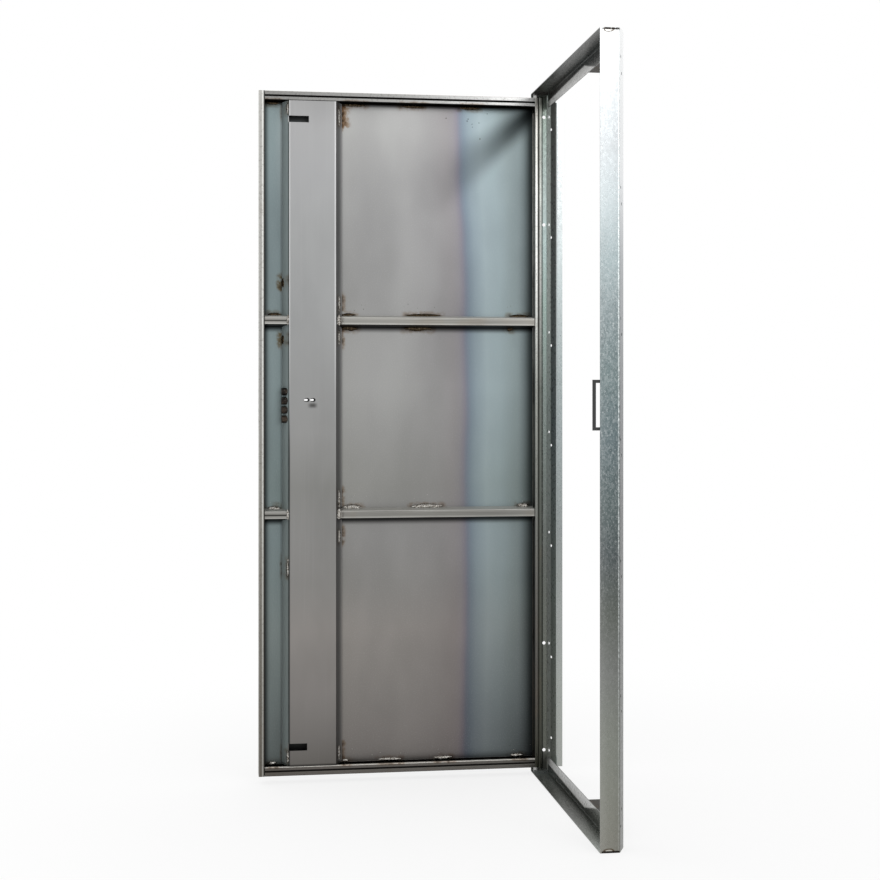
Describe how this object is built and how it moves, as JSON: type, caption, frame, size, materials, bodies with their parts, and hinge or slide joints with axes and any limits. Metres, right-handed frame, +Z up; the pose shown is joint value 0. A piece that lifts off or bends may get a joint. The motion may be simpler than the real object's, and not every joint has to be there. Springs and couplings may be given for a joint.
{
  "type": "security door with frame",
  "caption": "Sheet steel security door leaf with lock channel and cross stiffeners, standing open on pivots in its folded galvanised steel frame.",
  "frame": {"origin": "middle of the sill's underside, where the frame stands on the floor", "axes": "+X across the doorway from the hinge side to the lock side, +Y from outdoors to indoors, +Z up"},
  "size_m": [0.86, 0.908, 2.05],
  "materials": {
    "galvanised": "hot-dip galvanised, spangled",
    "raw_steel": "raw annealed sheet with temper colours",
    "edge_steel": "raw rolled profile",
    "plain_steel": "dark mill scale",
    "bright_steel": "turned",
    "black_bar": "matt black",
    "brass": "turned"
  },
  "bodies": {
    "frame": {"hinge_jamb": "galvanised", "lock_jamb": "galvanised", "head": "galvanised", "sill": "galvanised", "upper_corner_plate": "plain_steel", "lower_corner_plate": "plain_steel", "lock_guard": "black_bar", "bottom_pivot_plate": "plain_steel", "bottom_pivot_pin": "bright_steel", "top_pivot_plate": "plain_steel", "top_pivot_pin": "bright_steel", "thrust_washer": "brass"},
    "leaf": {"leaf_skin": "raw_steel", "hinge_stile": "edge_steel", "lock_stile": "edge_steel", "top_rail": "edge_steel", "bottom_rail": "edge_steel", "lock_channel": "raw_steel", "upper_stiffener": "raw_steel", "lower_stiffener": "raw_steel", "upper_short_stiffener": "raw_steel", "lower_short_stiffener": "raw_steel", "bolt_guide_1": "plain_steel", "bolt_guide_2": "plain_steel", "bolt_guide_3": "plain_steel", "bolt_guide_4": "plain_steel", "bottom_pivot_block": "plain_steel", "bottom_pivot_bush": "brass", "top_pivot_block": "plain_steel", "top_pivot_bush": "brass"}
  },
  "joints": [
    {"name": "leaf_swing", "type": "hinge", "parent": "frame", "child": "leaf", "pos_m": [-0.412, -0.012, 0.023], "axis": [0, 0, 1], "range_deg": [-15, 90]}
  ]
}
